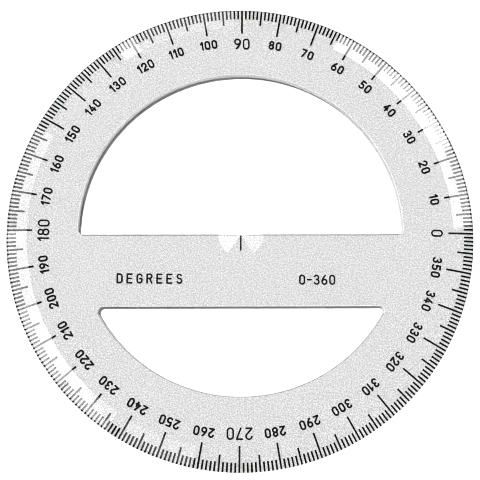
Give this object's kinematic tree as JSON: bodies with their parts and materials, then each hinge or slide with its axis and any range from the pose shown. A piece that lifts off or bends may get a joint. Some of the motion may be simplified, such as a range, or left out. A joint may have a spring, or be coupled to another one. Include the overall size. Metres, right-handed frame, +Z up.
{
  "type": "protractor",
  "caption": "Clear full-circle protractor: bevelled disc with two openings either side of a cross bar, a recessed centre mark, and paint-filled degree ticks and numerals on its underside.",
  "frame": {"origin": "centre of the scale on the underside, the face with the paint-filled engraving that rests on the paper", "axes": "+X towards the 0 degree tick, +Y towards the 90 degree tick, +Z up through the thickness of the plate"},
  "size_m": [0.1, 0.1, 0.0018],
  "materials": {
    "clear_acrylic": "clear, polished, faintly satin",
    "black_paint": "flat black engraving paint"
  },
  "bodies": {
    "root": {"plate": "clear_acrylic", "one_degree_ticks": "black_paint", "five_degree_ticks": "black_paint", "ten_degree_ticks": "black_paint", "centre_line": "black_paint", "left_legend": "black_paint", "right_legend": "black_paint", "numeral_000": "black_paint", "numeral_010": "black_paint", "numeral_020": "black_paint", "numeral_030": "black_paint", "numeral_040": "black_paint", "numeral_050": "black_paint", "numeral_060": "black_paint", "numeral_070": "black_paint", "numeral_080": "black_paint", "numeral_090": "black_paint", "numeral_100": "black_paint", "numeral_110": "black_paint", "numeral_120": "black_paint", "numeral_130": "black_paint", "numeral_140": "black_paint", "numeral_150": "black_paint", "numeral_160": "black_paint", "numeral_170": "black_paint", "numeral_180": "black_paint", "numeral_190": "black_paint", "numeral_200": "black_paint", "numeral_210": "black_paint", "numeral_220": "black_paint", "numeral_230": "black_paint", "numeral_240": "black_paint", "numeral_250": "black_paint", "numeral_260": "black_paint", "numeral_270": "black_paint", "numeral_280": "black_paint", "numeral_290": "black_paint", "numeral_300": "black_paint", "numeral_310": "black_paint", "numeral_320": "black_paint", "numeral_330": "black_paint", "numeral_340": "black_paint", "numeral_350": "black_paint"}
  },
  "joints": []
}
